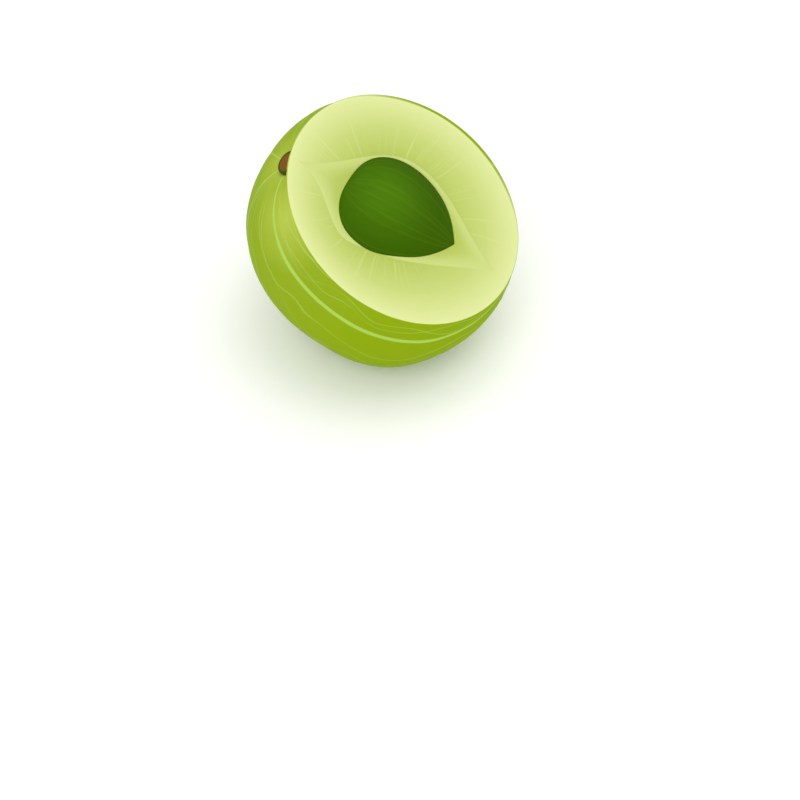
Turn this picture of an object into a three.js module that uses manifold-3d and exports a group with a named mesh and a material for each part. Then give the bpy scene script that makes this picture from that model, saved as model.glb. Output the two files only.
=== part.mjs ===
// Indian gooseberry (amla) with a cheek cut off beside its stone, lying on a small flat spot.
// Millimetres, +Z up. The origin is the middle of the flat spot.
//
// The fruit is built upright in its own frame: the middle of the whole fruit is at 0, the cut face
// looks along +Z, and the fruit's long direction is X, with the blossom end towards +X. The last
// section leans it over onto its flat spot.

import * as THREE from "three";
import { mergeVertices } from "three/addons/utils/BufferGeometryUtils.js";
import Module from "manifold-3d";

// The whole fruit is an ellipsoid, and the knife takes off the cheek above CUT_HEIGHT.
const FRUIT_HALF_LENGTH = 18;
const FRUIT_RADIUS = 17.3;
const CUT_HEIGHT = 6.3;
const RIM_ROUND = 0.35;

// The line from the stalk to the blossom end runs just under the cut face. It is turned from the
// fruit's long direction by AXIS_TURN and misses the middle of the face by AXIS_SHIFT.
const AXIS_TURN = THREE.MathUtils.degToRad(16.5);
const AXIS_SHIFT = -2.2;
const AXIS_HEIGHT = CUT_HEIGHT - 0.42;

// Shallow furrows run from end to end at these angles about that line, counted from level. They
// twist round it by FURROW_TWIST on their way to the stalk.
const FURROW_ANGLES = [15, 62, 110, 168].map(THREE.MathUtils.degToRad);
const FURROW_TWIST = THREE.MathUtils.degToRad(15);
const FURROW_DEPTH = 0.3;
const FURROW_HALF_WIDTH = 1.6;

// The stone: its outline in the cut face, the dome above it and the body below it.
const STONE_CENTRE = new THREE.Vector2(-2.2, -1.56);
const STONE_RADIUS = 6.6;
const STONE_TIP_RISE = 3.85;
const STONE_TIP_SHARPNESS = 1.65;
const STONE_SQUEEZE = -0.38;
const STONE_SKEW = 0.4;
const STONE_SHOULDER = 0.3;
const STONE_SINK = 0.3;
const STONE_DOME = 2.7;
const STONE_DOME_POWER = 1.5;
const STONE_DEPTH = 7.6;
const STONE_RIBS = 6;
const STONE_RIB_DEPTH = 0.3;
const STONE_GAP = 0.3;

// The stalk's corky scar: a round button in a pocket of the skin, with its top taken by the knife.
const SCAR_RADIUS = 1.7;
const SCAR_THICKNESS = 0.8;
const SCAR_PROUD = 0.35;
const SCAR_EDGE_ROUND = 0.3;
const SCAR_GAP = 0.3;

// How the fruit lies: the cut face leans towards the blossom end, turned to LEAN_HEADING.
const LEAN = THREE.MathUtils.degToRad(30);
const LEAN_HEADING = THREE.MathUtils.degToRad(-32);
const REST_SPOT_DEPTH = 0.6;

// How finely the round shapes are divided.
const FRUIT_SIDES = 72;
const FRUIT_RINGS = 28;
const STONE_SIDES = 40;
const STONE_RINGS = 18;
const SCAR_SIDES = 20;
const ROUND_STEPS = 3;
const MERGE_DISTANCE = 1e-4;

const wasm = await Module();
wasm.setup();

// A closed geometry as a solid that can be cut.
function solidFrom(geometry) {
  const bare = geometry.clone();
  bare.deleteAttribute("normal");
  bare.deleteAttribute("uv");
  const merged = mergeVertices(bare, MERGE_DISTANCE);
  return new wasm.Manifold(
    new wasm.Mesh({
      numProp: 3,
      vertProperties: merged.attributes.position.array,
      triVerts: new Uint32Array(merged.index.array),
    }),
  );
}

// The solid's surface as a geometry.
function geometryFrom(solid) {
  const { vertProperties, triVerts } = solid.getMesh();
  const geometry = new THREE.BufferGeometry();
  geometry.setAttribute("position", new THREE.BufferAttribute(vertProperties, 3));
  geometry.setIndex(new THREE.BufferAttribute(triVerts, 1));
  geometry.computeVertexNormals();
  return geometry;
}

// Calls move with each corner of a geometry, and keeps where it leaves that corner.
function moveCorners(geometry, move) {
  const positions = geometry.attributes.position;
  const corner = new THREE.Vector3();
  for (let i = 0; i < positions.count; i += 1) {
    move(corner.fromBufferAttribute(positions, i));
    positions.setXYZ(i, corner.x, corner.y, corner.z);
  }
  return geometry;
}

// A box that holds everything above a height, large enough to cut the whole fruit.
function spaceAbove(height) {
  const size = 4 * FRUIT_HALF_LENGTH;
  return new THREE.BoxGeometry(size, size, size).translate(0, 0, height + size / 2);
}

// Profile points of a quarter-round corner, from one angle to another.
function cornerPoints(centre, radius, fromAngle, toAngle) {
  const points = [];
  for (let i = 0; i <= ROUND_STEPS; i += 1) {
    const angle = THREE.MathUtils.lerp(fromAngle, toAngle, i / ROUND_STEPS);
    points.push(
      new THREE.Vector2(centre.x + radius * Math.cos(angle), centre.y + radius * Math.sin(angle)),
    );
  }
  return points;
}

// How deep the furrows are at a point of the skin. A furrow's floor is where the point's angle
// about the stalk line is the furrow's own, and it runs out towards both ends.
function furrowDepth(point) {
  const along = point.x * Math.cos(AXIS_TURN) + point.y * Math.sin(AXIS_TURN);
  const across = point.y * Math.cos(AXIS_TURN) - point.x * Math.sin(AXIS_TURN) - AXIS_SHIFT;
  const below = AXIS_HEIGHT - point.z;
  const reach = Math.hypot(across, below);
  const twist = FURROW_TWIST * Math.min(0, along / FRUIT_HALF_LENGTH) ** 2;
  const angle = Math.atan2(below, -across) - twist;
  const ends = Math.max(0, 1 - (along / FRUIT_HALF_LENGTH) ** 2);
  let depth = 0;
  for (const furrow of FURROW_ANGLES) {
    const aside = (reach * Math.abs(angle - furrow)) / FURROW_HALF_WIDTH;
    depth = Math.max(depth, FURROW_DEPTH * Math.exp(-aside * aside) * Math.sqrt(ends));
  }
  return depth;
}

// The fruit's skin up to the cut face: a turned profile with a softened rim, stretched to its
// length, with the furrows pressed in.
function fruitBody() {
  const rimHeight = CUT_HEIGHT - RIM_ROUND;
  const rimAngle = Math.asin(rimHeight / FRUIT_RADIUS);
  const profile = [];
  for (let i = 0; i < FRUIT_RINGS; i += 1) {
    const angle = THREE.MathUtils.lerp(-Math.PI / 2, rimAngle, i / FRUIT_RINGS);
    const radius = i === 0 ? 0 : FRUIT_RADIUS * Math.cos(angle);
    profile.push(new THREE.Vector2(radius, FRUIT_RADIUS * Math.sin(angle)));
  }
  const rimCentre = new THREE.Vector2(FRUIT_RADIUS * Math.cos(rimAngle) - RIM_ROUND, rimHeight);
  profile.push(...cornerPoints(rimCentre, RIM_ROUND, 0, Math.PI / 2));
  profile.push(new THREE.Vector2(0, CUT_HEIGHT));

  const body = new THREE.LatheGeometry(profile, FRUIT_SIDES);
  body.rotateX(Math.PI / 2);
  body.scale(FRUIT_HALF_LENGTH / FRUIT_RADIUS, 1, 1);
  return moveCorners(body, (corner) => {
    if (corner.z > rimHeight + RIM_ROUND / 2) return;
    corner.multiplyScalar(1 - furrowDepth(corner) / FRUIT_RADIUS);
  });
}

// Distance from the stone's middle to its outline, by the angle from its tip: a rounded body,
// a little squeezed and skewed, that rises to one point.
function stoneReach(turn) {
  return (
    STONE_RADIUS +
    STONE_SQUEEZE * Math.cos(2 * turn) +
    STONE_SKEW * Math.sin(2 * turn) +
    STONE_SHOULDER * Math.cos(3 * turn) +
    STONE_TIP_RISE * (1 - Math.abs(Math.sin(turn / 2))) ** STONE_TIP_SHARPNESS
  );
}

// The stone, or with a growth the hollow that holds it. Grooves between the ribs run from the
// blunt end to the tip, which points along the stalk line.
function stoneBody(growth) {
  const body = new THREE.SphereGeometry(1, STONE_SIDES, STONE_RINGS);
  body.rotateX(Math.PI / 2);
  moveCorners(body, (corner) => {
    const turn = Math.atan2(corner.y, corner.x);
    const reach = (stoneReach(turn) + growth) * Math.hypot(corner.x, corner.y);
    const up = corner.z > 0;
    const height = up
      ? (STONE_DOME + growth) * corner.z ** STONE_DOME_POWER
      : (STONE_DEPTH + growth) * corner.z;
    corner.set(reach * Math.cos(turn), reach * Math.sin(turn), height);

    const girth = Math.hypot(corner.y, corner.z);
    const ribAngle = STONE_RIBS * Math.atan2(corner.z, corner.y);
    const groove = (STONE_RIB_DEPTH * (1 - Math.cos(ribAngle))) / 2;
    const kept = 1 - groove / (girth + STONE_RADIUS);
    corner.y *= kept;
    corner.z *= kept;
  });
  body.rotateZ(AXIS_TURN);
  return body.translate(STONE_CENTRE.x, STONE_CENTRE.y, CUT_HEIGHT - STONE_SINK);
}

// The scar's button, or with a growth its pocket, standing on the skin where the stalk line
// leaves it.
function scarBody(growth) {
  const radius = SCAR_RADIUS + growth;
  const bottom = SCAR_PROUD - SCAR_THICKNESS - growth;
  const edge = new THREE.Vector2(radius - SCAR_EDGE_ROUND, SCAR_PROUD - SCAR_EDGE_ROUND + growth);
  const profile = [new THREE.Vector2(0, bottom), new THREE.Vector2(radius, bottom)];
  profile.push(...cornerPoints(edge, SCAR_EDGE_ROUND, 0, Math.PI / 2));
  profile.push(new THREE.Vector2(0, SCAR_PROUD + growth));
  const body = new THREE.LatheGeometry(profile, SCAR_SIDES);
  body.rotateX(Math.PI / 2);

  const place = stalkEnd();
  const outward = new THREE.Vector3(
    place.x / FRUIT_HALF_LENGTH ** 2,
    place.y / FRUIT_RADIUS ** 2,
    place.z / FRUIT_RADIUS ** 2,
  ).normalize();
  const facing = new THREE.Quaternion().setFromUnitVectors(new THREE.Vector3(0, 0, 1), outward);
  body.applyQuaternion(facing);
  return body.translate(place.x, place.y, place.z);
}

// Where the stalk line leaves the skin, on the stalk's side.
function stalkEnd() {
  const line = new THREE.Vector2(Math.cos(AXIS_TURN), Math.sin(AXIS_TURN));
  const foot = new THREE.Vector2(-line.y, line.x).multiplyScalar(AXIS_SHIFT);
  const share = Math.sqrt(1 - (AXIS_HEIGHT / FRUIT_RADIUS) ** 2);
  const halfLength = FRUIT_HALF_LENGTH * share;
  const halfWidth = FRUIT_RADIUS * share;
  const a = (line.x / halfLength) ** 2 + (line.y / halfWidth) ** 2;
  const b = (line.x * foot.x) / halfLength ** 2 + (line.y * foot.y) / halfWidth ** 2;
  const c = (foot.x / halfLength) ** 2 + (foot.y / halfWidth) ** 2 - 1;
  const along = (-b - Math.sqrt(b * b - a * c)) / a;
  const end = foot.addScaledVector(line, along);
  return new THREE.Vector3(end.x, end.y, AXIS_HEIGHT);
}

function pieceMesh(name, geometry, color, roughness) {
  const material = new THREE.MeshStandardMaterial({ color, roughness, metalness: 0 });
  const mesh = new THREE.Mesh(geometry, material);
  mesh.name = name;
  return mesh;
}

// The pose: the turn that leans the fruit, and the middle of its flat spot in the turned frame.
const pose = new THREE.Quaternion().setFromEuler(new THREE.Euler(0, LEAN, LEAN_HEADING, "ZYX"));
const down = new THREE.Vector3(0, 0, -1).applyQuaternion(pose.clone().invert());
const lowest = new THREE.Vector3(
  down.x * FRUIT_HALF_LENGTH ** 2,
  down.y * FRUIT_RADIUS ** 2,
  down.z * FRUIT_RADIUS ** 2,
);
lowest.divideScalar(
  Math.hypot(down.x * FRUIT_HALF_LENGTH, down.y * FRUIT_RADIUS, down.z * FRUIT_RADIUS),
);
const restSpot = lowest.clone().applyQuaternion(pose);
restSpot.multiplyScalar(1 - REST_SPOT_DEPTH / Math.abs(restSpot.z));

// Everything under the flat spot, in the fruit's own frame.
const under = spaceAbove(0)
  .rotateX(Math.PI)
  .translate(restSpot.x, restSpot.y, restSpot.z)
  .applyQuaternion(pose.clone().invert());

const aboveCut = solidFrom(spaceAbove(CUT_HEIGHT));
const halfFruit = solidFrom(fruitBody())
  .subtract(solidFrom(stoneBody(STONE_GAP)))
  .subtract(solidFrom(scarBody(SCAR_GAP)))
  .subtract(solidFrom(under));
const stemScar = solidFrom(scarBody(0)).subtract(aboveCut);

const fruit = new THREE.Group();
fruit.quaternion.copy(pose);
fruit.position.copy(restSpot).negate();
fruit.add(
  pieceMesh("half_fruit", geometryFrom(halfFruit), 0x9db52f, 0.45),
  pieceMesh("stone", geometryFrom(solidFrom(stoneBody(0))), 0x447010, 0.5),
  pieceMesh("stem_scar", geometryFrom(stemScar), 0x835b27, 0.85),
);

const gooseberry = new THREE.Group();
gooseberry.add(fruit);

export default gooseberry;
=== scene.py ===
"""A cut Indian gooseberry: skin, flesh, stone and stalk scar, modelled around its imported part."""

import math

import bmesh
import bpy
from bpy.props import FloatProperty, FloatVectorProperty, IntProperty, PointerProperty
from mathutils import Euler, Matrix, Vector, noise


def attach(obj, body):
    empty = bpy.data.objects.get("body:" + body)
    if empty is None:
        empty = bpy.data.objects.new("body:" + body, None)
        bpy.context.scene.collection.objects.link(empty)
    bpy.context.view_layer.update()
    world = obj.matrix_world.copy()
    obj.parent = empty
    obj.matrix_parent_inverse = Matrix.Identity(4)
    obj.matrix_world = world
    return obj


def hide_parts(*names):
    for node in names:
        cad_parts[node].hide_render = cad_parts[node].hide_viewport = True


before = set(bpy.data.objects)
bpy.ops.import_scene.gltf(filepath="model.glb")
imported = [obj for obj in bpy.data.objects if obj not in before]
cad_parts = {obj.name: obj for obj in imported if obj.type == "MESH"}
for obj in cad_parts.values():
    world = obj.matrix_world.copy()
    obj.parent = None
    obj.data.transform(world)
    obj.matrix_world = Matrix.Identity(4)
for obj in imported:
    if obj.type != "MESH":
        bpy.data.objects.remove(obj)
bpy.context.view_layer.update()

bl_info = {
    "name": "Cut Indian Gooseberry",
    "version": (1, 0, 0),
    "blender": (4, 5, 0),
    "location": "View3D > Sidebar > Gooseberry",
    "description": "Models an Indian gooseberry with a cheek cut off beside its stone",
    "category": "Add Mesh",
}

MM = 0.001
PANEL_TAB = "Gooseberry"

# Furrows of the skin: the angle about the stalk line, counted from level, and the half width of
# the pale line in its floor.
FURROWS = (
    (math.radians(15), 0.31 * MM),
    (math.radians(62), 0.29 * MM),
    (math.radians(110), 0.19 * MM),
    (math.radians(168), 0.5 * MM),
)

# Slow unevenness of the grown fruit: the azimuth and elevation of each swell or flat in degrees,
# its height and how many degrees it spreads over.
SWELLS = (
    (-41, -25, 0.36 * MM, 20),
    (-77, -36, -0.36 * MM, 20),
    (-139, -27, 0.26 * MM, 20),
    (-177, -4, -0.24 * MM, 20),
    (85, 25, 0.2 * MM, 35),
)

# The pale core round the stone, as the half width of a spindle along the stalk line. Each
# quarter has the place of its widest point, its length from there and how quickly it narrows.
CORE_UPPER = {"peak": 1.27 * MM, "width": 8.8 * MM, "ends": ((15.6 * MM, 2.0), (15.9 * MM, 1.4))}
CORE_LOWER = {"peak": -3.03 * MM, "width": 7.15 * MM, "ends": ((11.2 * MM, 3.2), (20.2 * MM, 1.2))}
CORE_MIDLINE = -0.57 * MM

# Stretches of the turned profile, counted along it from the underside to the stone's hollow.
SKIN_END, RIM_END, FACE_END, LIP_END = 1.0, 2.0, 3.0, 4.0

# Smaller shapes of the skin: the floor of a furrow, the dimple round the scar, and lumps by
# height and spacing. The furrows fade out over the last share of the skin below the rim.
LINE_DEPTH = 0.06 * MM
DIMPLE_DEPTH, DIMPLE_WIDTH = 0.3 * MM, 3.6 * MM
SKIN_LUMPS = ((0.07 * MM, 7 * MM), (0.02 * MM, 2.2 * MM))
PRESS_FADE = 0.012

# Where round the cut face the skin bulged most, and the stretch of the rim that turns pale.
BULGE_TURN = math.radians(97)
PALE_FROM, PALE_TO = SKIN_END + 0.45, SKIN_END + 0.65

# Smaller shapes of the cut face: the step up onto the core, the lip that swells against the
# stone, and the knife's waves by height, spacing and the level at which their noise is read.
# They fade in over the first share of the face inside the rim.
CORE_STEP = 0.12 * MM
LIP_HEIGHT, LIP_WIDTH = 0.1 * MM, 0.35 * MM
KNIFE_WAVES = ((0.03 * MM, 2.6 * MM, 0.0), (0.012 * MM, 0.8 * MM, 3 * MM))
RELIEF_FADE = 0.04

# The stone's outline is a circle, a little oval, skewed and three-cornered, with a tip. Its dome
# rises nearly upright from its foot, and the tip's corner softens on the way up.
STONE_OVAL, STONE_SKEW, STONE_CORNERS = 0.38 * MM, 0.4 * MM, 0.3 * MM
TIP_RISE_POWER, TIP_POINT_POWER = 1.65, 14
DOME_POWER = 1.15
CORNER_SOFTNESS, CORNER_POWER = 1.5, 1.4
STONE_RIBS, STONE_SEAMS = 6, 18
STONE_SIDES, STONE_RINGS = 288, 112

# How far the scar is seated under the fruit's outline, and its divisions.
SCAR_SEAT = 0.22 * MM
SCAR_SIDES, SCAR_RINGS = 72, 16

# The palest places of the skin, in the fruit's own frame, and how much further off each counts.
# Their paleness is partly the skin's own, below the stalk's scar, and partly a painted highlight
# beside the cut. The green is deepest past their reach, partly as painted shade away from the
# light, they blend softly, and the blend starts from far off.
PALE_AND_LIT_SPOTS = ((Vector((-10.5, -13, 5)) * MM, 0.0), (Vector((-15.5, -7, 5)) * MM, 1.5 * MM))
PALE_REACH, PALE_BLEND, PALE_FAR = 18 * MM, 3 * MM, 20 * MM

# Veins of the skin, as sets: the seed of each and how many it has in a full turn. They bend
# every few millimetres, by up to their sway times their spacing, and show in patches.
VEIN_SETS = ((3.0, 18), (17.0, 22))
VEIN_BENDS, VEIN_PATCHES, VEIN_SWAY = 6.5 * MM, 8 * MM, 1.5

# Where the furrows' pale lines have thinned out, in millimetres from the middle of their length.
LINE_END = 16.5

# Fibres of the flesh, as sets: how many in a full turn, their half width in millimetres and how
# strongly they show.
FIBRE_SETS = ((32, 0.11, 0.42), (60, 0.09, 0.16))

# Lights: name, direction from the fruit, distance in metres, diameter and power in watts.
LAMPS = (
    ("window_light", Vector((-0.2, -0.8, 0.75)), 0.7, 0.45, 1.1),
    ("sky_light", Vector((0.25, 0.1, 1.0)), 0.8, 0.7, 1.2),
)
ROOM_STRENGTH = 0.95
FLOOR_HALF = 3.0

# Camera: a long lens, in millimetres like its sensor, the width that it takes in at the fruit,
# its angle from level, and how far from the fruit's middle it is aimed.
LENS, SENSOR = 400.0, 36.0
VIEW_WIDTH, VIEW_ELEVATION = 104.37 * MM, math.radians(45)
AIM_RIGHT, AIM_DOWN = 2.19 * MM, 22.26 * MM


def linear(code):
    """An sRGB hex colour as linear red, green and blue."""
    channels = [int(code[i : i + 2], 16) / 255 for i in (0, 2, 4)]
    return tuple(c / 12.92 if c <= 0.04045 else ((c + 0.055) / 1.055) ** 2.4 for c in channels)


def mix(low, high, share):
    """The value a share of the way from low to high."""
    return low + (high - low) * share


def smooth(low, high, value):
    """A soft step from 0 at low to 1 at high."""
    share = min(1.0, max(0.0, (value - low) / (high - low)))
    return share * share * (3 - 2 * share)


def bell(distance, width):
    """A soft bump: 1 at no distance, and nearly 0 at twice the width."""
    return math.exp(-((distance / width) ** 2))


def length_property(name, description, size):
    """A length that a user may change, with its default in metres."""
    return FloatProperty(name=name, description=description, default=size, unit="LENGTH")


def angle_property(name, description, degrees):
    """An angle that a user may change, with its default in degrees."""
    default = math.radians(degrees)
    return FloatProperty(name=name, description=description, default=default, subtype="ANGLE")


def colour_property(name, description, code):
    """A colour that a user may change, with its default as an sRGB hex code."""
    default = linear(code)
    return FloatVectorProperty(name=name, description=description, default=default, subtype="COLOR")


class FruitSizes(bpy.types.PropertyGroup):
    """Sizes of the whole fruit, of its cut and of how it lies"""

    half_length: length_property("Half length", "Half of the whole fruit's length", 18 * MM)
    radius: length_property("Radius", "Half of the whole fruit's width", 17.3 * MM)
    cut_height: length_property(
        "Cut height", "How far from the fruit's middle the knife passes", 6.3 * MM
    )
    rim_round: length_property(
        "Rim round", "Radius of the edge between the skin and the cut face", 0.25 * MM
    )
    rim_bulge: length_property(
        "Rim bulge", "How much rounder the edge is where the skin bulged under the knife", 0.3 * MM
    )
    axis_turn: angle_property(
        "Stalk line turn", "Angle from the fruit's long direction to its stalk line", 16.5
    )
    axis_shift: length_property(
        "Stalk line shift", "How far the stalk line passes from the middle of the cut face", -2.2 * MM
    )
    axis_depth: length_property(
        "Stalk line depth", "How far the stalk line runs under the cut face", 0.42 * MM
    )
    furrow_twist: angle_property(
        "Furrow twist", "How far the furrows turn about the stalk line on their way to the stalk", 15
    )
    furrow_depth: length_property("Furrow depth", "Depth of the shallow furrows in the skin", 0.26 * MM)
    furrow_width: length_property(
        "Furrow width", "Half width of the shallow furrows in the skin", 1.5 * MM
    )
    lean: angle_property("Lean", "How far the cut face leans from level, towards the blossom end", 30)
    heading: angle_property("Heading", "Which way the cut face leans, about the vertical", -32)
    rest_depth: length_property(
        "Rest spot depth", "How much the underside is flattened where the fruit rests", 0.6 * MM
    )
    sides: IntProperty(name="Sides", description="Divisions round the cut face", default=432)


class StoneSizes(bpy.types.PropertyGroup):
    """Sizes of the stone and of its hollow"""

    centre: FloatVectorProperty(
        name="Centre",
        description="Middle of the stone in the cut face",
        default=(-2.01 * MM, -1.69 * MM),
        size=2,
        unit="LENGTH",
    )
    radius: length_property("Radius", "Mean radius of the stone's outline, without its tip", 6.74 * MM)
    tip_rise: length_property("Tip rise", "How far the tip reaches beyond the round outline", 3.6 * MM)
    tip_point: length_property(
        "Tip point", "How much further the tip reaches as a sharp corner", 0.45 * MM
    )
    dome: length_property("Dome", "Height of the stone above its widest outline", 2.7 * MM)
    depth: length_property("Depth", "Depth of the stone below its widest outline", 7.6 * MM)
    sink: length_property("Sink", "How far the widest outline lies below the cut face", 0.3 * MM)
    rib_depth: length_property("Rib depth", "Depth of the grooves between the stone's ribs", 0.26 * MM)
    gap: length_property("Gap", "Play between the stone and its hollow", 0.008 * MM)


class ScarSizes(bpy.types.PropertyGroup):
    """Sizes of the stalk's scar and of its pocket"""

    radius: length_property("Radius", "Radius of the stalk's scar", 1.7 * MM)
    proud: length_property("Proud", "How far the scar stands above the skin round it", 0.22 * MM)
    sunk: length_property("Sunk", "Depth of the pocket that holds the scar", 0.4 * MM)


class GooseberryColours(bpy.types.PropertyGroup):
    """Colours of every material"""

    # The pale skin colour is partly a painted highlight beside the cut. The deep skin colour is partly
    # painted shade on the underside, and also the skin's real mottling.
    skin_pale_and_lit: colour_property("Skin, pale", "Skin below the stalk's scar", "ADBC4A")
    skin: colour_property("Skin", "Skin over most of the fruit", "8BA322")
    skin_deep_and_shaded: colour_property("Skin, deep", "Skin on the underside and in its mottling", "859F0F")
    furrow: colour_property("Furrow line", "Pale line in the floor of each furrow", "A5C859")
    flesh_rim: colour_property("Flesh, rim", "Cut flesh next to the skin", "D2DA95")
    flesh: colour_property("Flesh", "Cut flesh half way in", "BBC872")
    flesh_core: colour_property("Flesh, core", "Cut flesh next to the stone", "A9BA53")
    core_edge: colour_property("Core edge", "Pale edge of the core round the stone", "C0CD7C")
    # The stone's top colour is a painted highlight on its dome. Its foot colour is painted shade, and
    # also gives the darker streaks of its grain.
    stone: colour_property("Stone", "Top of the stone's dome", "48740A")
    stone_dark_and_shade: colour_property("Stone, edge", "Foot of the stone's dome", "355802")
    scar: colour_property("Scar", "Corky face of the stalk's scar", "764D19")
    scar_edge: colour_property("Scar, edge", "Dark edge round the stalk's scar", "3A4A10")
    scar_dark: colour_property("Scar, dark", "Hollows between the scar's grains of cork", "5E3D17")
    floor: colour_property("Floor", "Plain pale floor", "FDFDFC")
    floor_fibre: colour_property("Floor, fibre", "Faint fibres of the floor", "F0F0EC")


def settings():
    """The sizes and colours of the scene's gooseberry."""
    return bpy.context.scene.gooseberry


def fruit_pose(fruit):
    """Leans the fruit's own frame and stands it on its flat spot, whose middle is the origin."""
    turn = Euler((0, fruit.lean, fruit.heading), "XYZ").to_matrix()
    radii = Matrix.Diagonal((fruit.half_length, fruit.radius, fruit.radius))
    down = radii @ turn.transposed() @ Vector((0, 0, -1))
    lowest = radii @ down / down.length
    spot = turn @ lowest
    spot *= 1 - fruit.rest_depth / abs(spot.z)
    return Matrix.Translation(-spot) @ turn.to_4x4()


def stalk_place(fruit, point):
    """A point's furrow angle about the stalk line, its place along it and its distance from it."""
    turn_cos, turn_sin = math.cos(fruit.axis_turn), math.sin(fruit.axis_turn)
    along = point.x * turn_cos + point.y * turn_sin
    across = point.y * turn_cos - point.x * turn_sin - fruit.axis_shift
    below = fruit.cut_height - fruit.axis_depth - point.z
    twist = fruit.furrow_twist * min(0.0, along / fruit.half_length) ** 2
    angle = math.atan2(below, -across)
    if angle < -math.pi / 2:
        angle += 2 * math.pi
    return angle - twist, along, math.hypot(across, below)


def stalk_end(fruit):
    """Where the stalk line leaves the skin, on the stalk's side."""
    line = Vector((math.cos(fruit.axis_turn), math.sin(fruit.axis_turn)))
    foot = Vector((-line.y, line.x)) * fruit.axis_shift
    height = fruit.cut_height - fruit.axis_depth
    share = math.sqrt(1 - (height / fruit.radius) ** 2)
    squash = Matrix.Diagonal((1 / (fruit.half_length * share), 1 / (fruit.radius * share)))
    direction, start = squash @ line, squash @ foot
    a, b, c = direction.dot(direction), direction.dot(start), start.dot(start) - 1
    end = foot + line * ((-b - math.sqrt(b * b - a * c)) / a)
    return Vector((end.x, end.y, height))


def outward(fruit, point):
    """The direction that the whole fruit's skin faces at a point."""
    radii = (fruit.half_length, fruit.radius, fruit.radius)
    return Vector([point[i] / radii[i] ** 2 for i in range(3)]).normalized()


def stone_reach(stone, turn, softness=0.0):
    """Distance from the stone's middle to its outline, by the angle from its tip."""
    half = math.sqrt(math.sin(turn / 2) ** 2 + softness**2) / math.sqrt(1 + softness**2)
    return (
        stone.radius
        - STONE_OVAL * math.cos(2 * turn)
        + STONE_SKEW * math.sin(2 * turn)
        + STONE_CORNERS * math.cos(3 * turn)
        + stone.tip_rise * (1 - half) ** TIP_RISE_POWER
        + stone.tip_point * (1 - half) ** TIP_POINT_POWER
    )


def core_inside(fruit, stone, x, y):
    """How far a point of the cut face lies inside the edge of the pale core round the stone."""
    turn_cos, turn_sin = math.cos(fruit.axis_turn), math.sin(fruit.axis_turn)
    x, y = x - stone.centre[0], y - stone.centre[1]
    along = x * turn_cos + y * turn_sin
    across = y * turn_cos - x * turn_sin - CORE_MIDLINE
    side = CORE_UPPER if across > 0 else CORE_LOWER
    length, power = side["ends"][0 if along < side["peak"] else 1]
    share = min(1.0, abs(along - side["peak"]) / length)
    cosine = math.cos(share * math.pi / 2)
    width = side["width"] * cosine**power
    slope = side["width"] * power * max(cosine, 0.02) ** (power - 1) * math.sin(share * math.pi / 2)
    slope *= math.pi / 2 / length
    return (width - abs(across)) / math.sqrt(1 + slope * slope)


def new_piece(name, bm, materials):
    """Makes a smooth-shaded object from a bmesh, with its materials, in the scene."""
    mesh = bpy.data.meshes.new(name)
    for face in bm.faces:
        face.smooth = True
    bm.to_mesh(mesh)
    bm.free()
    piece = bpy.data.objects.new(name, mesh)
    bpy.context.scene.collection.objects.link(piece)
    for material in materials:
        mesh.materials.append(material)
    return piece


def spun(profile, sides, first_angle):
    """A bmesh turned from (radius, height, mark) points, with each vertex keeping its mark."""
    bm = bmesh.new()
    mark = bm.verts.layers.float.new("profile")
    chain = []
    for radius, height, stretch in profile:
        vert = bm.verts.new((radius * math.cos(first_angle), radius * math.sin(first_angle), height))
        vert[mark] = stretch
        chain.append(vert)
    edges = [bm.edges.new(pair) for pair in zip(chain, chain[1:])]
    bmesh.ops.spin(
        bm,
        geom=chain + edges,
        cent=(0, 0, 0),
        axis=(0, 0, 1),
        angle=2 * math.pi,
        steps=sides,
        use_merge=True,
    )
    bmesh.ops.remove_doubles(bm, verts=bm.verts, dist=1e-7)
    return bm, mark


def rim_radius_at(fruit, turn):
    """The edge's radius round the cut face: the skin bulged out on the side away from the scar."""
    return fruit.rim_round + fruit.rim_bulge * smooth(0.5, 1.0, math.cos(turn - BULGE_TURN))


def outline_point(fruit, stretch, turn):
    """Radius and height of the skin or the rim, before the fruit is stretched to its length."""
    edge = rim_radius_at(fruit, turn)
    rim_height = fruit.cut_height - edge
    rim_angle = math.asin(rim_height / fruit.radius)
    if stretch < SKIN_END:
        angle = mix(-math.pi / 2, rim_angle, stretch)
        return fruit.radius * math.cos(angle), fruit.radius * math.sin(angle)
    quarter = math.pi / 2 * min(1.0, stretch - SKIN_END)
    radius = fruit.radius * math.cos(rim_angle) - edge * (1 - math.cos(quarter))
    return radius, rim_height + edge * math.sin(quarter)


def fruit_profile(fruit, stone):
    """The turned profile of the fruit, from its underside over the rim and into the hollow."""
    skin_rings, rim_rings, face_rings, lip_rings, hollow_rings = 100, 9, 58, 7, 12
    points = []
    for start, rings in ((0.0, skin_rings), (SKIN_END, rim_rings)):
        for i in range(rings):
            stretch = start + i / rings
            radius, height = outline_point(fruit, stretch, 0)
            points.append((radius if stretch else 0, height, stretch))
    for i in range(face_rings):
        radius = mix(points[skin_rings + rim_rings - 1][0], stone.radius, i / face_rings)
        points.append((radius, fruit.cut_height, RIM_END + i / face_rings))
    for i in range(lip_rings):
        share = i / lip_rings
        points.append((stone.radius, fruit.cut_height - stone.sink * share, FACE_END + share))
    for i in range(hollow_rings + 1):
        share = i / hollow_rings
        radius = stone.radius * (1 - share)
        height = fruit.cut_height - stone.sink - stone.depth * share
        points.append((radius, height, LIP_END + share))
    return points


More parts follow.
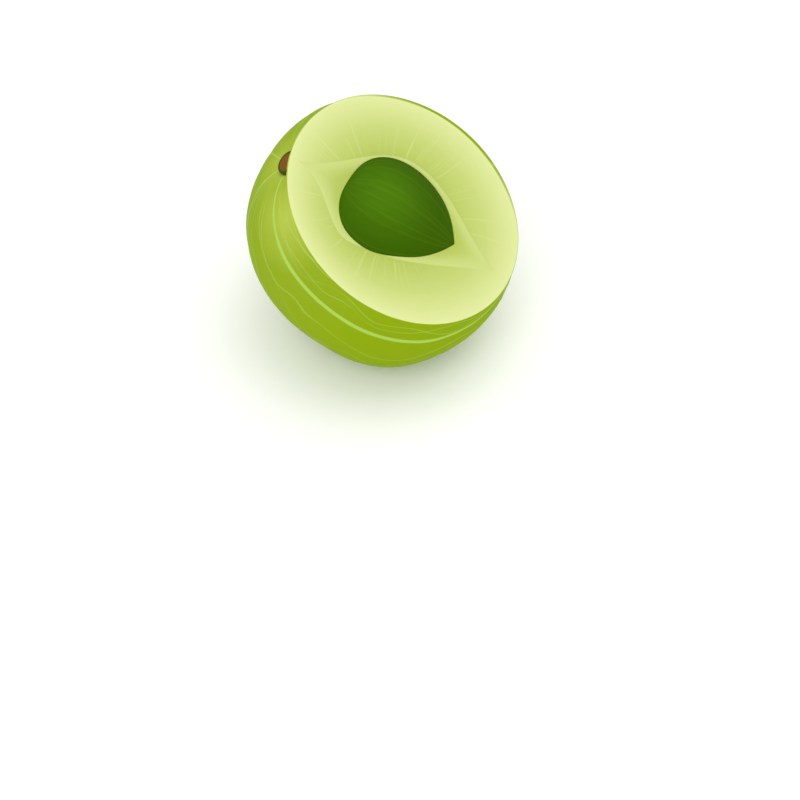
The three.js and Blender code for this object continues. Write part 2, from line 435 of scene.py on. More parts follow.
def skin_press(fruit, scar, point, end):
    """How deep the skin is pressed in at a point, by furrows, the stalk's dimple and lumps."""
    angle, along, reach = stalk_place(fruit, point)
    ends = math.sqrt(max(0.0, 1 - (along / fruit.half_length) ** 2))
    depth = 0.0
    for furrow, line in FURROWS:
        aside = reach * abs(math.remainder(angle - furrow, 2 * math.pi))
        groove = fruit.furrow_depth * bell(aside, fruit.furrow_width)
        groove += LINE_DEPTH * bell(aside, 2 * line)
        depth = max(depth, groove * ends)
    from_end = (point - end).length
    depth += DIMPLE_DEPTH * bell(from_end, DIMPLE_WIDTH)
    depth += scar.sunk * smooth(1.12 * scar.radius, 0.95 * scar.radius, from_end)
    return depth + sum(height * noise.noise(point / spacing) for height, spacing in SKIN_LUMPS)


def swell(point):
    """How far the slow unevenness of the fruit lifts its skin at a point."""
    direction = point.normalized()
    height = 0.0
    for azimuth, elevation, rise, spread in SWELLS:
        turn, lift = math.radians(azimuth), math.radians(elevation)
        level = math.cos(lift)
        peak = Vector((level * math.cos(turn), level * math.sin(turn), math.sin(lift)))
        height += rise * bell(math.degrees(direction.angle(peak)), spread)
    return height


def face_relief(core, from_lip, x, y):
    """Height of the cut face: a low step up onto the core, a lip at the stone and knife waves."""
    height = CORE_STEP * smooth(-0.15 * MM, 0.3 * MM, core)
    height += LIP_HEIGHT * bell(from_lip, LIP_WIDTH)
    for wave, spacing, level in KNIFE_WAVES:
        height += wave * noise.noise(Vector((x, y, level)) / spacing)
    return height


def dome_reach(stone, turn, spread):
    """The stone's reach part of the way up its dome, which loses its corner as it rises."""
    return stone_reach(stone, turn, CORNER_SOFTNESS * (1 - spread) ** CORNER_POWER) * spread


def stone_lip(fruit, stone, turn, height):
    """Where the hollow's wall stands round the stone's dome, at a height above its foot."""
    rise = min(1.0, max(0.0, height / stone.dome)) ** (1 / DOME_POWER)
    reach = dome_reach(stone, turn - fruit.axis_turn, math.sqrt(1 - rise * rise)) + stone.gap
    x = stone.centre[0] + math.cos(turn) * reach
    y = stone.centre[1] + math.sin(turn) * reach
    return Vector((x, y))


def skin_point(fruit, scar, point, stretch, end):
    """The grown skin's place for a point of the plain shape: swollen, furrowed and dimpled."""
    lift = swell(point) * smooth(RIM_END, SKIN_END, stretch)
    press = skin_press(fruit, scar, point, end) * smooth(SKIN_END, SKIN_END - PRESS_FADE, stretch)
    return point + outward(fruit, point) * (lift - press)


def face_point(fruit, stone, rim, turn, share):
    """A point of the cut face, a share of the way from the rim to the stone, and its core depth."""
    lip = stone_lip(fruit, stone, turn, stone.sink + LIP_HEIGHT)
    place = rim.lerp(lip, share)
    core = core_inside(fruit, stone, place.x, place.y)
    relief = face_relief(core, (place - lip).length, place.x, place.y)
    height = fruit.cut_height + relief * smooth(0, RELIEF_FADE, share)
    return Vector((place.x, place.y, height)), core


def hollow_point(fruit, stone, point, turn, stretch):
    """A point of the stone's hollow: down the wall that hugs the dome, then round its floor."""
    centre = Vector(stone.centre)
    foot = fruit.cut_height - stone.sink
    point.z = mix(point.z, foot, min(1.0, stretch - FACE_END))
    wall = stone_lip(fruit, stone, turn, point.z - foot)
    if stretch <= LIP_END:
        return Vector((wall.x, wall.y, point.z))
    quarter = (stretch - LIP_END) * math.pi / 2
    inward = centre + (wall - centre) * math.cos(quarter)
    return Vector((inward.x, inward.y, foot - (stone.depth + stone.gap) * math.sin(quarter)))


def shape_fruit(bm, mark):
    """Moves each vertex of the turned shape to the grown fruit's place, and notes where it is."""
    fruit, stone, scar = settings().fruit, settings().stone, settings().scar
    stretch_x = fruit.half_length / fruit.radius
    end = stalk_end(fruit)
    skin_place = bm.verts.layers.float_vector.new("skin_place")
    face_place = bm.verts.layers.float_vector.new("face_place")
    pale_edge = bm.verts.layers.float.new("pale_edge")
    centre = Vector(stone.centre)
    for vert in bm.verts:
        stretch = vert[mark]
        turn = math.atan2(vert.co.y, vert.co.x)
        radius, height = outline_point(fruit, min(stretch, RIM_END), turn)
        rim = Vector((math.cos(turn) * stretch_x, math.sin(turn))) * radius
        if stretch < RIM_END:
            point = skin_point(fruit, scar, Vector((rim.x, rim.y, height)), stretch, end)
        else:
            share = min(1.0, stretch - RIM_END)
            point, core = face_point(fruit, stone, rim, turn, share)
            vert[face_place] = (core / MM, (point.xy - centre).length / MM, 1 - share)
        if stretch > FACE_END:
            point = hollow_point(fruit, stone, point, turn, stretch)
        bulge = (rim_radius_at(fruit, turn) - fruit.rim_round) / fruit.rim_bulge
        vert[pale_edge] = smooth(PALE_FROM, PALE_TO, stretch) * (1 - bulge)
        angle, along, reach = stalk_place(fruit, point)
        vert[skin_place] = (angle, along / MM, reach / MM)
        vert.co = point


def press_flat(bm):
    """Flattens what would reach below the surface that the fruit rests on."""
    for vert in bm.verts:
        vert.co.z = max(vert.co.z, 0.0)


class GOOSEBERRY_OT_fruit(bpy.types.Operator):
    """Model the cut fruit: its skin with furrows, its cut flesh and the stone's hollow"""

    bl_idname = "gooseberry.fruit"
    bl_label = "Cut Fruit"

    def execute(self, context):
        fruit, stone = settings().fruit, settings().stone
        if fruit.cut_height >= fruit.radius:
            raise ValueError("The knife has to pass through the fruit")
        bm, mark = spun(fruit_profile(fruit, stone), fruit.sides, fruit.axis_turn)
        shape_fruit(bm, mark)
        for face in bm.faces:
            stretch = sum(vert[mark] for vert in face.verts) / len(face.verts)
            face.material_index = 1 if stretch > RIM_END else 0
        bmesh.ops.transform(bm, matrix=fruit_pose(fruit), verts=bm.verts)
        press_flat(bm)
        bmesh.ops.recalc_face_normals(bm, faces=bm.faces)
        piece = new_piece("cut_fruit", bm, [skin_material(), flesh_material()])
        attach(piece, "root")
        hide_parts("half_fruit")
        return {"FINISHED"}


def shape_stone(bm, stone):
    """Gives a ball the stone's outline, dome, ribs and grain, and notes where each vertex is."""
    stone_place = bm.verts.layers.float_vector.new("stone_place")
    for vert in bm.verts:
        turn = math.atan2(vert.co.y, vert.co.x)
        reach = dome_reach(stone, turn, math.hypot(vert.co.x, vert.co.y))
        up = vert.co.z > 0
        height = stone.dome * vert.co.z**DOME_POWER if up else stone.depth * vert.co.z
        point = Vector((reach * math.cos(turn), reach * math.sin(turn), height))
        rib_turn, girth = math.atan2(point.z, point.y), math.hypot(point.y, point.z)
        groove = stone.rib_depth * (1 - math.cos(STONE_RIBS * rib_turn)) / 2
        grain = noise.noise(Vector((point.x / 5, point.y, point.z)) / (0.9 * MM))
        pressed = groove / (girth + stone.radius) - 0.004 * grain
        kept = 1 - pressed * smooth(0.5 * MM, 1.6 * MM, abs(point.z))
        vert.co = (point.x, point.y * kept, point.z * kept)
        vert[stone_place] = (rib_turn, girth / MM, 0)


class GOOSEBERRY_OT_stone(bpy.types.Operator):
    """Model the stone: a dome and body on a pointed outline, with ribs from end to end"""

    bl_idname = "gooseberry.stone"
    bl_label = "Stone"

    def execute(self, context):
        fruit, stone = settings().fruit, settings().stone
        bm = bmesh.new()
        bmesh.ops.create_uvsphere(bm, u_segments=STONE_SIDES, v_segments=STONE_RINGS, radius=1)
        shape_stone(bm, stone)
        place = Vector((stone.centre[0], stone.centre[1], fruit.cut_height - stone.sink))
        turn = Matrix.Rotation(fruit.axis_turn, 4, "Z")
        matrix = fruit_pose(fruit) @ Matrix.Translation(place) @ turn
        bmesh.ops.transform(bm, matrix=matrix, verts=bm.verts)
        piece = new_piece("ribbed_stone", bm, [stone_material()])
        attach(piece, "root")
        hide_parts("stone")
        return {"FINISHED"}


def scar_profile(scar):
    """The turned profile of the scar: a flat base, and a face that rises to a ring by its edge."""
    profile = [(0, -scar.sunk, 0), (0.96 * scar.radius, -scar.sunk, 1)]
    for i in range(SCAR_RINGS + 1):
        share = 1 - i / SCAR_RINGS
        ring = scar.proud * (0.7 + 0.3 * bell(share - 0.88, 0.1))
        profile.append((scar.radius * share, ring * (1 - smooth(0.93, 1.0, share)), share))
    return profile


def roughen_scar(bm, scar):
    """Gives the scar's face its corky grain, and notes how near each vertex is to the edge."""
    edge_share = bm.verts.layers.float.new("edge_share")
    for vert in bm.verts:
        share = vert.co.xy.length / scar.radius
        vert[edge_share] = share
        if vert.co.z > 0:
            bark = noise.noise(vert.co / (0.35 * MM)) + 0.6 * noise.noise(vert.co / (0.15 * MM))
            vert.co.z += 0.05 * MM * bark * (1 - share**4)


def cut_above(bm, height):
    """Cuts off what is above a height, and closes the cut."""
    cut = bmesh.ops.bisect_plane(
        bm,
        geom=bm.verts[:] + bm.edges[:] + bm.faces[:],
        plane_co=(0, 0, height),
        plane_no=(0, 0, 1),
        clear_outer=True,
    )
    rim = [item for item in cut["geom_cut"] if isinstance(item, bmesh.types.BMEdge)]
    bmesh.ops.holes_fill(bm, edges=rim, sides=0)


class GOOSEBERRY_OT_scar(bpy.types.Operator):
    """Model the stalk's scar: a corky disc with a raised edge, halved beside the rim"""

    bl_idname = "gooseberry.scar"
    bl_label = "Stalk Scar"

    def execute(self, context):
        fruit, scar = settings().fruit, settings().scar
        bm, _ = spun(scar_profile(scar), SCAR_SIDES, 0)
        roughen_scar(bm, scar)
        end = stalk_end(fruit)
        facing = outward(fruit, end).to_track_quat("Z", "Y").to_matrix().to_4x4()
        seat = end - outward(fruit, end) * SCAR_SEAT
        bmesh.ops.transform(bm, matrix=Matrix.Translation(seat) @ facing, verts=bm.verts)
        cut_above(bm, fruit.cut_height - 0.7 * fruit.rim_round)
        bmesh.ops.transform(bm, matrix=fruit_pose(fruit), verts=bm.verts)
        bmesh.ops.recalc_face_normals(bm, faces=bm.faces)
        piece = new_piece("stalk_scar", bm, [scar_material()])
        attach(piece, "root")
        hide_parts("stem_scar")
        return {"FINISHED"}


def add(tree, kind, inputs=None, **values):
    """Adds a node, sets its values, and sets or links its inputs by name or number."""
    node = tree.nodes.new(kind)
    for name, value in values.items():
        setattr(node, name, value)
    for key, value in (inputs or {}).items():
        if isinstance(value, bpy.types.NodeSocket):
            tree.links.new(value, node.inputs[key])
        else:
            node.inputs[key].default_value = value
    return node


def rgba(colour):
    """A colour property with full opacity."""
    return (*colour, 1.0)


def new_material(name, roughness, **sockets):
    """A material with only a shader and an output, and its tree, shader and object coordinates."""
    material = bpy.data.materials.new(name)
    material.use_nodes = True
    tree = material.node_tree
    tree.nodes.clear()
    shader = add(tree, "ShaderNodeBsdfPrincipled", {"Roughness": roughness})
    for name, value in sockets.items():
        shader.inputs[name.replace("_", " ")].default_value = value
    add(tree, "ShaderNodeOutputMaterial", {"Surface": shader.outputs["BSDF"]})
    return material, tree, shader, add(tree, "ShaderNodeTexCoord").outputs["Object"]


def skin_tone_and_painted_light(tree, position):
    """The skin's green: palest beside the cut, from the stalk's scar down, and deeper away. The
    paleness is partly a painted highlight and the deeper green partly painted shade.
    """
    colours, fruit = settings().colours, settings().fruit
    distance = PALE_FAR
    for spot, extra in PALE_AND_LIT_SPOTS:
        away = add(
            tree,
            "ShaderNodeVectorMath",
            {0: position, 1: fruit_pose(fruit) @ spot},
            operation="DISTANCE",
        ).outputs["Value"]
        away = add(tree, "ShaderNodeMath", {0: away, 1: extra}, operation="ADD").outputs[0]
        distance = add(
            tree, "ShaderNodeMath", {0: away, 1: distance, 2: PALE_BLEND}, operation="SMOOTH_MIN"
        ).outputs[0]
    depth = add(tree, "ShaderNodeMapRange", {"Value": distance, "From Max": PALE_REACH}).outputs[0]
    gradient = add(tree, "ShaderNodeValToRGB", {0: depth})
    ramp = gradient.color_ramp
    ramp.elements[0].color = rgba(colours.skin_pale_and_lit)
    ramp.elements[1].color = rgba(colours.skin_deep_and_shaded)
    ramp.elements.new(0.42).color = rgba(colours.skin)
    return gradient.outputs[0]


def mottled(tree, colour, cloud):
    """The skin's colour with cloudy patches of its deeper green."""
    cloudy = add(
        tree,
        "ShaderNodeMapRange",
        {"Value": cloud, "From Min": 0.45, "From Max": 0.75, "To Max": 0.25},
    ).outputs[0]
    deep = rgba(settings().colours.skin_deep_and_shaded)
    return add(tree, "ShaderNodeMix", {0: cloudy, 6: colour, 7: deep}, data_type="RGBA").outputs[2]


def vein_line(tree, position, angle, reach, seed, count):
    """How strongly one set of veins shows: thin lines that wander along the fruit."""
    per_radian = count / (2 * math.pi)
    wander = add(
        tree,
        "ShaderNodeTexNoise",
        {"Vector": position, "W": seed, "Scale": 1 / VEIN_BENDS, "Detail": 0},
        noise_dimensions="4D",
    ).outputs[0]
    spread = add(tree, "ShaderNodeMath", {0: angle, 1: per_radian}, operation="MULTIPLY").outputs[0]
    swayed = add(
        tree, "ShaderNodeMath", {0: wander, 1: VEIN_SWAY, 2: spread}, operation="MULTIPLY_ADD"
    ).outputs[0]
    cells = add(
        tree,
        "ShaderNodeTexVoronoi",
        {"W": swayed, "Scale": 1.0, "Randomness": 0.7},
        voronoi_dimensions="1D",
    ).outputs["Distance"]
    aside = add(tree, "ShaderNodeMath", {0: cells, 1: reach}, operation="MULTIPLY").outputs[0]
    return add(
        tree,
        "ShaderNodeMapRange",
        {"Value": aside, "From Min": 0.13 * per_radian, "From Max": 0.05 * per_radian},
        interpolation_type="SMOOTHSTEP",
    ).outputs[0]


def veined(tree, colour, position, angle, reach):
    """The skin's colour with sets of fine pale veins, which come and go along their way."""
    pale = rgba(settings().colours.furrow)
    from_stalk_line = add(
        tree, "ShaderNodeMapRange", {"Value": reach, "From Min": 3.0, "From Max": 8.0}
    ).outputs[0]
    for seed, count in VEIN_SETS:
        line = vein_line(tree, position, angle, reach, seed, count)
        patches = add(
            tree,
            "ShaderNodeTexNoise",
            {"Vector": position, "W": seed + 1, "Scale": 1 / VEIN_PATCHES, "Detail": 0},
            noise_dimensions="4D",
        ).outputs[0]
        patchy = add(
            tree,
            "ShaderNodeMapRange",
            {"Value": patches, "From Min": 0.28, "From Max": 0.46, "To Max": 0.38},
        ).outputs[0]
        for share in (patchy, from_stalk_line):
            line = add(tree, "ShaderNodeMath", {0: line, 1: share}, operation="MULTIPLY").outputs[0]
        colour = add(tree, "ShaderNodeMix", {0: line, 6: colour, 7: pale}, data_type="RGBA").outputs[2]
    return colour


def lined(tree, colour, angle, along, reach):
    """The skin's colour with a pale line in each furrow's floor, which thins towards both ends."""
    ends = add(tree, "ShaderNodeMath", {0: along, 1: 1 / LINE_END}, operation="MULTIPLY").outputs[0]
    ends = add(tree, "ShaderNodeMath", {0: ends, 1: ends}, operation="MULTIPLY").outputs[0]
    taper = add(
        tree,
        "ShaderNodeMapRange",
        {"Value": ends, "From Min": 1.0, "From Max": 0.4, "To Min": 0.35, "To Max": 1.0},
    ).outputs[0]
    nearest = 10.0
    for furrow, half_width in FURROWS:
        off = add(tree, "ShaderNodeMath", {0: angle, 1: furrow}, operation="SUBTRACT").outputs[0]
        off = add(tree, "ShaderNodeMath", {0: off}, operation="ABSOLUTE").outputs[0]
        widths = add(
            tree, "ShaderNodeMath", {0: reach, 1: MM / half_width}, operation="MULTIPLY"
        ).outputs[0]
        off = add(tree, "ShaderNodeMath", {0: off, 1: widths}, operation="MULTIPLY").outputs[0]
        nearest = add(tree, "ShaderNodeMath", {0: off, 1: nearest}, operation="MINIMUM").outputs[0]
    nearest = add(tree, "ShaderNodeMath", {0: nearest, 1: taper}, operation="DIVIDE").outputs[0]
    line = add(
        tree,
        "ShaderNodeMapRange",
        {"Value": nearest, "From Min": 1.3, "From Max": 0.7, "To Max": 0.9},
        interpolation_type="SMOOTHSTEP",
    ).outputs[0]
    pale = rgba(settings().colours.furrow)
    return add(tree, "ShaderNodeMix", {0: line, 6: colour, 7: pale}, data_type="RGBA").outputs[2]


def skin_material():
    """Waxy fruit skin: its bloom of wax is nearly matt, and light sinks a little into the green."""
    material, tree, shader, position = new_material(
        "Waxy Gooseberry Skin",
        0.42,
        IOR=1.42,
        Specular_IOR_Level=0.006,
        Subsurface_Weight=0.1,
        Subsurface_Scale=0.6 * MM,
        Subsurface_Radius=(1.0, 1.0, 0.3),
    )
    place = add(tree, "ShaderNodeAttribute", attribute_name="skin_place").outputs["Vector"]
    angle, along, reach = add(tree, "ShaderNodeSeparateXYZ", {0: place}).outputs
    cloud = add(
        tree, "ShaderNodeTexNoise", {"Vector": position, "Scale": 1 / (3 * MM), "Detail": 3}
    ).outputs[0]
    # The skin's green has a painted highlight beside the cut and painted shade away from it, with its
    # real mottling, veins and furrow lines over it.
    colour = mottled(tree, skin_tone_and_painted_light(tree, position), cloud)
    colour = veined(tree, colour, position, angle, reach)
    colour = lined(tree, colour, angle, along, reach)

    # The knife's edge leaves pale flesh at the rim, but not where the skin bulged under it.
    edge = add(tree, "ShaderNodeAttribute", attribute_name="pale_edge").outputs["Fac"]
    flesh = rgba(settings().colours.flesh_rim)
    colour = add(tree, "ShaderNodeMix", {0: edge, 6: colour, 7: flesh}, data_type="RGBA").outputs[2]
    tree.links.new(colour, shader.inputs["Base Color"])

    # The wax lies unevenly. Its pores are finer than can show, and are drawn 0.35 mm apart.
    rough = add(tree, "ShaderNodeMapRange", {"Value": cloud, "To Min": 0.36, "To Max": 0.5})
    tree.links.new(rough.outputs[0], shader.inputs["Roughness"])
    pores = add(
        tree, "ShaderNodeTexNoise", {"Vector": position, "Scale": 1 / (0.35 * MM), "Detail": 2}
    ).outputs[0]
    bump = add(tree, "ShaderNodeBump", {"Height": pores, "Strength": 0.25, "Distance": 0.03 * MM})
    tree.links.new(bump.outputs[0], shader.inputs["Normal"])
    return material


def flesh_shade(tree, share):
    """The flesh's green: pale at the rim and deeper towards the stone."""
    colours = settings().colours
    gradient = add(tree, "ShaderNodeValToRGB", {0: share})
    ramp = gradient.color_ramp
    ramp.elements[0].color = rgba(colours.flesh_core)
    ramp.elements[1].color = rgba(colours.flesh_rim)
    ramp.elements.new(0.5).color = rgba(colours.flesh)
    return gradient.outputs[0]


def core_glow(tree, colour, core):
    """The flesh's colour with the core's pale edge, which fades inwards over 2 mm."""
    glow = add(
        tree,
        "ShaderNodeMapRange",
        {"Value": core, "From Min": 2.2, "From Max": 0.0, "To Max": 0.85},
        interpolation_type="SMOOTHSTEP",
    ).outputs[0]
    within = add(
        tree,
        "ShaderNodeMapRange",
        {"Value": core, "From Min": -0.06, "From Max": 0.06},
        interpolation_type="SMOOTHSTEP",
    ).outputs[0]
    glow = add(tree, "ShaderNodeMath", {0: glow, 1: within}, operation="MULTIPLY").outputs[0]
    pale = rgba(settings().colours.core_edge)
    return add(tree, "ShaderNodeMix", {0: glow, 6: colour, 7: pale}, data_type="RGBA").outputs[2]


def fibre_turn(tree, position):
    """The angle about the stone in the cut face, swayed a little so that no fibre is straight."""
    centre = settings().stone.centre
    fruit_frame = fruit_pose(settings().fruit)
    local = add(
        tree,
        "ShaderNodeMapping",
        {
            "Vector": position,
            "Location": fruit_frame.translation,
            "Rotation": fruit_frame.to_euler("XYZ"),
        },
        vector_type="TEXTURE",
    ).outputs[0]
    spoke = add(
        tree, "ShaderNodeVectorMath", {0: local, 1: (*centre, 0)}, operation="SUBTRACT"
    ).outputs[0]
    x, y, _ = add(tree, "ShaderNodeSeparateXYZ", {0: spoke}).outputs
    turn = add(tree, "ShaderNodeMath", {0: y, 1: x}, operation="ARCTAN2").outputs[0]
    sway = add(
        tree, "ShaderNodeTexNoise", {"Vector": position, "Scale": 1 / (9 * MM), "Detail": 0}
    ).outputs[0]
    return add(tree, "ShaderNodeMath", {0: sway, 1: 0.12, 2: turn}, operation="MULTIPLY_ADD").outputs[0]


def fibre_set(tree, turn, radius, share, count, half_width, strength):
    """How strongly one set of fibres shows: spokes from the stone, of uneven length."""
    per_radian = count / (2 * math.pi)
    cells = add(tree, "ShaderNodeTexVoronoi", {"W": turn, "Scale": per_radian}, voronoi_dimensions="1D")
    chance = add(tree, "ShaderNodeSeparateColor", {0: cells.outputs["Color"]})
    aside = add(
        tree, "ShaderNodeMath", {0: cells.outputs["Distance"], 1: radius}, operation="MULTIPLY"
    ).outputs[0]
    outer, inner = 1.4 * half_width * per_radian, 0.3 * half_width * per_radian
    fibre = add(
        tree,
        "ShaderNodeMapRange",
        {"Value": aside, "From Min": outer, "From Max": inner},
        interpolation_type="SMOOTHSTEP",
    ).outputs[0]
    length = add(
        tree, "ShaderNodeMapRange", {"Value": chance.outputs[0], "To Min": 0.35, "To Max": 1.0}
    ).outputs[0]
    shorter = add(tree, "ShaderNodeMath", {0: length, 1: 0.4}, operation="SUBTRACT").outputs[0]
    fade = add(
        tree,
        "ShaderNodeMapRange",
        {"Value": share, "From Min": length, "From Max": shorter, "To Max": strength},
        interpolation_type="SMOOTHSTEP",
    ).outputs[0]
    for factor in (fade, chance.outputs[1]):
        fibre = add(tree, "ShaderNodeMath", {0: fibre, 1: factor}, operation="MULTIPLY").outputs[0]
    return fibre


def flesh_fibres(tree, position, core, radius, share):
    """How strongly fibres show on the cut face: they fan out from the core's edge."""
    turn = fibre_turn(tree, position)
    outside = add(
        tree, "ShaderNodeMapRange", {"Value": core, "From Min": 0.0, "From Max": -0.5}
    ).outputs[0]
    fibres = 0.0
    for count, half_width, strength in FIBRE_SETS:
        fibre = fibre_set(tree, turn, radius, share, count, half_width, strength)
        fibre = add(tree, "ShaderNodeMath", {0: fibre, 1: outside}, operation="MULTIPLY").outputs[0]
        fibres = add(tree, "ShaderNodeMath", {0: fibres, 1: fibre}, operation="MAXIMUM").outputs[0]
    return fibres


def flesh_material():
    """Freshly cut fruit flesh: juicy and translucent, so light sinks in and its film shines a bit."""
    material, tree, shader, position = new_material(
        "Moist Gooseberry Flesh",
        0.45,
        IOR=1.38,
        Specular_IOR_Level=0.15,
        Subsurface_Weight=0.15,
        Subsurface_Scale=0.6 * MM,
        Subsurface_Radius=(1.0, 1.0, 0.4),
    )
    place = add(tree, "ShaderNodeAttribute", attribute_name="face_place").outputs["Vector"]
    core, radius, share = add(tree, "ShaderNodeSeparateXYZ", {0: place}).outputs
    colour = core_glow(tree, flesh_shade(tree, share), core)
    fibres = flesh_fibres(tree, position, core, radius, share)
    pale = rgba(settings().colours.flesh_rim)
    colour = add(tree, "ShaderNodeMix", {0: fibres, 6: colour, 7: pale}, data_type="RGBA").outputs[2]
    tree.links.new(colour, shader.inputs["Base Color"])

    # Cell walls give the wet film a fine grain, drawn 0.4 mm apart to show.
    grain = add(
        tree, "ShaderNodeTexNoise", {"Vector": position, "Scale": 1 / (0.4 * MM), "Detail": 2}
    ).outputs[0]
    height = add(
        tree, "ShaderNodeMath", {0: fibres, 1: 0.8, 2: grain}, operation="MULTIPLY_ADD"
    ).outputs[0]
    bump = add(tree, "ShaderNodeBump", {"Height": height, "Strength": 0.3, "Distance": 0.03 * MM})
    tree.links.new(bump.outputs[0], shader.inputs["Normal"])
    return material


def stone_painted_light(tree, position):
    """The stone's green with painted light: a painted highlight on top of its dome, and painted shade
    darker towards its foot.
    """
    colours, fruit, stone = settings().colours, settings().fruit, settings().stone
    top = Vector((stone.centre[0] - 1.2 * MM, stone.centre[1], fruit.cut_height + stone.dome))
    distance = add(
        tree, "ShaderNodeVectorMath", {0: position, 1: fruit_pose(fruit) @ top}, operation="DISTANCE"
    ).outputs["Value"]
    outer = add(
        tree,
        "ShaderNodeMapRange",
        {"Value": distance, "From Max": 9 * MM},
        interpolation_type="SMOOTHSTEP",
    ).outputs[0]
    light, dark = rgba(colours.stone), rgba(colours.stone_dark_and_shade)
    return add(tree, "ShaderNodeMix", {0: outer, 6: light, 7: dark}, data_type="RGBA").outputs[2]


def stone_grain(tree, position):
    """Grain of the stone, 0.6 mm apart and drawn out 12 times as long from end to end."""
    fruit = settings().fruit
    grain_frame = fruit_pose(fruit) @ Matrix.Rotation(fruit.axis_turn, 4, "Z")
    along_grain = add(
        tree,
        "ShaderNodeMapping",
        {
            "Vector": position,
            "Location": grain_frame.translation,
            "Rotation": grain_frame.to_euler("XYZ"),
            "Scale": (12, 1, 1),
        },
        vector_type="TEXTURE",
    ).outputs[0]
    return add(
        tree, "ShaderNodeTexNoise", {"Vector": along_grain, "Scale": 1 / (0.6 * MM), "Detail": 3}
    ).outputs[0]


def stone_seams(tree):
    """How strongly the faint seams show, which run from the stone's blunt end to its tip."""
    place = add(tree, "ShaderNodeAttribute", attribute_name="stone_place").outputs["Vector"]
    rib_turn, girth, _ = add(tree, "ShaderNodeSeparateXYZ", {0: place}).outputs
    per_radian = STONE_SEAMS / (2 * math.pi)
    cells = add(
        tree, "ShaderNodeTexVoronoi", {"W": rib_turn, "Scale": per_radian}, voronoi_dimensions="1D"
    ).outputs["Distance"]
    aside = add(tree, "ShaderNodeMath", {0: cells, 1: girth}, operation="MULTIPLY").outputs[0]
    outer, inner = 0.15 * per_radian, 0.04 * per_radian
    return add(
        tree,
        "ShaderNodeMapRange",
        {"Value": aside, "From Min": outer, "From Max": inner, "To Max": 0.04},
        interpolation_type="SMOOTHSTEP",
    ).outputs[0]


def stone_material():
    """Fresh fruit stone: a hard wood-like shell, dark green and nearly matt, with long grain."""
    colours = settings().colours
    material, tree, shader, position = new_material(
        "Fresh Gooseberry Stone", 0.55, IOR=1.5, Specular_IOR_Level=0.015
    )
    grain = stone_grain(tree, position)
    streak = add(
        tree,
        "ShaderNodeMapRange",
        {"Value": grain, "From Min": 0.35, "From Max": 0.75, "To Max": 0.3},
    ).outputs[0]
    # The stone's tone is painted light: a painted highlight on the dome's top and painted shade at its
    # foot.
    colour = stone_painted_light(tree, position)
    for share, over in ((streak, colours.stone_dark_and_shade), (stone_seams(tree), colours.skin)):
        colour = add(
            tree, "ShaderNodeMix", {0: share, 6: colour, 7: rgba(over)}, data_type="RGBA"
        ).outputs[2]
    tree.links.new(colour, shader.inputs["Base Color"])
    bump = add(tree, "ShaderNodeBump", {"Height": grain, "Strength": 0.35, "Distance": 0.06 * MM})
    tree.links.new(bump.outputs[0], shader.inputs["Normal"])
    return material


def scar_material():
    """Dry cork: the stalk's torn end, brown and matt, with a dark green edge of dried skin."""
    colours = settings().colours
    material, tree, shader, position = new_material(
        "Dry Stalk Cork", 0.85, IOR=1.5, Specular_IOR_Level=0.1
    )
    cork = add(
        tree, "ShaderNodeTexNoise", {"Vector": position, "Scale": 1 / (0.3 * MM), "Detail": 4}
    ).outputs[0]
    dark = add(
        tree, "ShaderNodeMapRange", {"Value": cork, "From Min": 0.5, "From Max": 0.8, "To Max": 0.6}
    ).outputs[0]
    place = add(tree, "ShaderNodeAttribute", attribute_name="edge_share").outputs["Fac"]
    edge = add(
        tree, "ShaderNodeMapRange", {"Value": place, "From Min": 0.76, "From Max": 0.81}
    ).outputs[0]
    colour = rgba(colours.scar)
    for share, over in ((dark, colours.scar_dark), (edge, colours.scar_edge)):
        colour = add(
            tree, "ShaderNodeMix", {0: share, 6: colour, 7: rgba(over)}, data_type="RGBA"
        ).outputs[2]
    tree.links.new(colour, shader.inputs["Base Color"])
    bump = add(tree, "ShaderNodeBump", {"Height": cork, "Strength": 0.5, "Distance": 0.08 * MM})
    tree.links.new(bump.outputs[0], shader.inputs["Normal"])
    return material


def floor_material():
    """Matt white card: nearly even, with a faint fibre that only shows close up."""
    colours = settings().colours
    material, tree, shader, position = new_material("Matt White Card", 0.8)
    fibre = add(
        tree, "ShaderNodeTexNoise", {"Vector": position, "Scale": 1 / (2 * MM), "Detail": 3}
    ).outputs[0]
    faint = add(tree, "ShaderNodeMapRange", {"Value": fibre, "To Max": 0.04}).outputs[0]
    colour = add(
        tree,
        "ShaderNodeMix",
        {0: faint, 6: rgba(colours.floor), 7: rgba(colours.floor_fibre)},
        data_type="RGBA",
    ).outputs[2]
    tree.links.new(colour, shader.inputs["Base Color"])
    return material


def add_room(scene):
    """An even white room, whose light fills the shadows."""
    world = bpy.data.worlds.new("Soft White Room")
    world.use_nodes = True
    background = world.node_tree.nodes["Background"]
    background.inputs["Color"].default_value = (1, 1, 1, 1)
    background.inputs["Strength"].default_value = ROOM_STRENGTH
    scene.world = world


def add_lamp(scene, middle, name, direction, distance, size, power):
    """A round soft light that looks at the fruit."""
    light = bpy.data.lights.new(name, "AREA")
    light.shape = "DISK"
    light.size = size
    light.energy = power
    lamp = bpy.data.objects.new(name, light)
    lamp.location = middle + direction.normalized() * distance
    lamp.rotation_euler = direction.to_track_quat("Z", "Y").to_euler()
    scene.collection.objects.link(lamp)


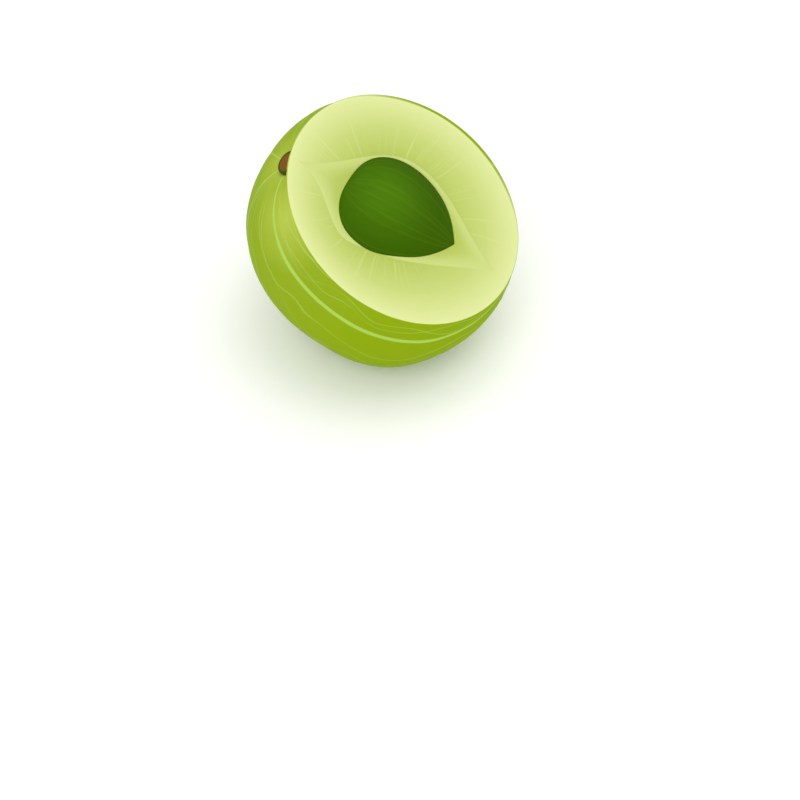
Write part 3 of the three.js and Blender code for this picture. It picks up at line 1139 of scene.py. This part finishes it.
def add_camera(scene, middle):
    """A long lens that looks down at the fruit, aimed below it so that it sits high."""
    back = Vector((0, -math.cos(VIEW_ELEVATION), math.sin(VIEW_ELEVATION)))
    up = Vector((0, math.sin(VIEW_ELEVATION), math.cos(VIEW_ELEVATION)))
    aim = middle + Vector((AIM_RIGHT, 0, 0)) - up * AIM_DOWN
    data = bpy.data.cameras.new("camera")
    data.lens = LENS
    data.sensor_width = SENSOR
    data.clip_start = 0.01
    camera = bpy.data.objects.new("camera", data)
    camera.location = middle + back * (VIEW_WIDTH * LENS / SENSOR)
    camera.rotation_euler = (camera.location - aim).to_track_quat("Z", "Y").to_euler()
    scene.collection.objects.link(camera)
    scene.camera = camera


class GOOSEBERRY_OT_stage(bpy.types.Operator):
    """Set up the pale floor, the soft lights and the camera"""

    bl_idname = "gooseberry.stage"
    bl_label = "Floor, Lights and Camera"

    def execute(self, context):
        scene = bpy.context.scene
        scene.view_settings.view_transform = "Standard"
        bm = bmesh.new()
        bmesh.ops.create_grid(bm, x_segments=4, y_segments=4, size=FLOOR_HALF)
        new_piece("floor", bm, [floor_material()])
        add_room(scene)
        middle = fruit_pose(settings().fruit).translation
        for lamp in LAMPS:
            add_lamp(scene, middle, *lamp)
        add_camera(scene, middle)
        return {"FINISHED"}


class Gooseberry(bpy.types.PropertyGroup):
    """All the settings of the gooseberry"""

    fruit: PointerProperty(type=FruitSizes)
    stone: PointerProperty(type=StoneSizes)
    scar: PointerProperty(type=ScarSizes)
    colours: PointerProperty(type=GooseberryColours)


class GOOSEBERRY_PT_panel(bpy.types.Panel):
    """Lists the sizes, colours and operators of the gooseberry"""

    bl_idname = "GOOSEBERRY_PT_panel"
    bl_label = "Indian Gooseberry"
    bl_space_type = "VIEW_3D"
    bl_region_type = "UI"
    bl_category = PANEL_TAB

    def draw(self, context):
        for group in (settings().fruit, settings().stone, settings().scar, settings().colours):
            box = self.layout.box()
            for name in group.__annotations__:
                box.prop(group, name)
        for operator in OPERATORS:
            self.layout.operator(operator.bl_idname)


GROUPS = (FruitSizes, StoneSizes, ScarSizes, GooseberryColours, Gooseberry)
OPERATORS = (
    GOOSEBERRY_OT_stage,
    GOOSEBERRY_OT_fruit,
    GOOSEBERRY_OT_stone,
    GOOSEBERRY_OT_scar,
)


def register():
    for cls in (*GROUPS, *OPERATORS, GOOSEBERRY_PT_panel):
        bpy.utils.register_class(cls)
    bpy.types.Scene.gooseberry = PointerProperty(type=Gooseberry)


def unregister():
    del bpy.types.Scene.gooseberry
    for cls in reversed((*GROUPS, *OPERATORS, GOOSEBERRY_PT_panel)):
        bpy.utils.unregister_class(cls)


def main():
    register()
    bpy.ops.gooseberry.stage()
    bpy.ops.gooseberry.fruit()
    bpy.ops.gooseberry.stone()
    bpy.ops.gooseberry.scar()


if __name__ == "__main__":
    main()
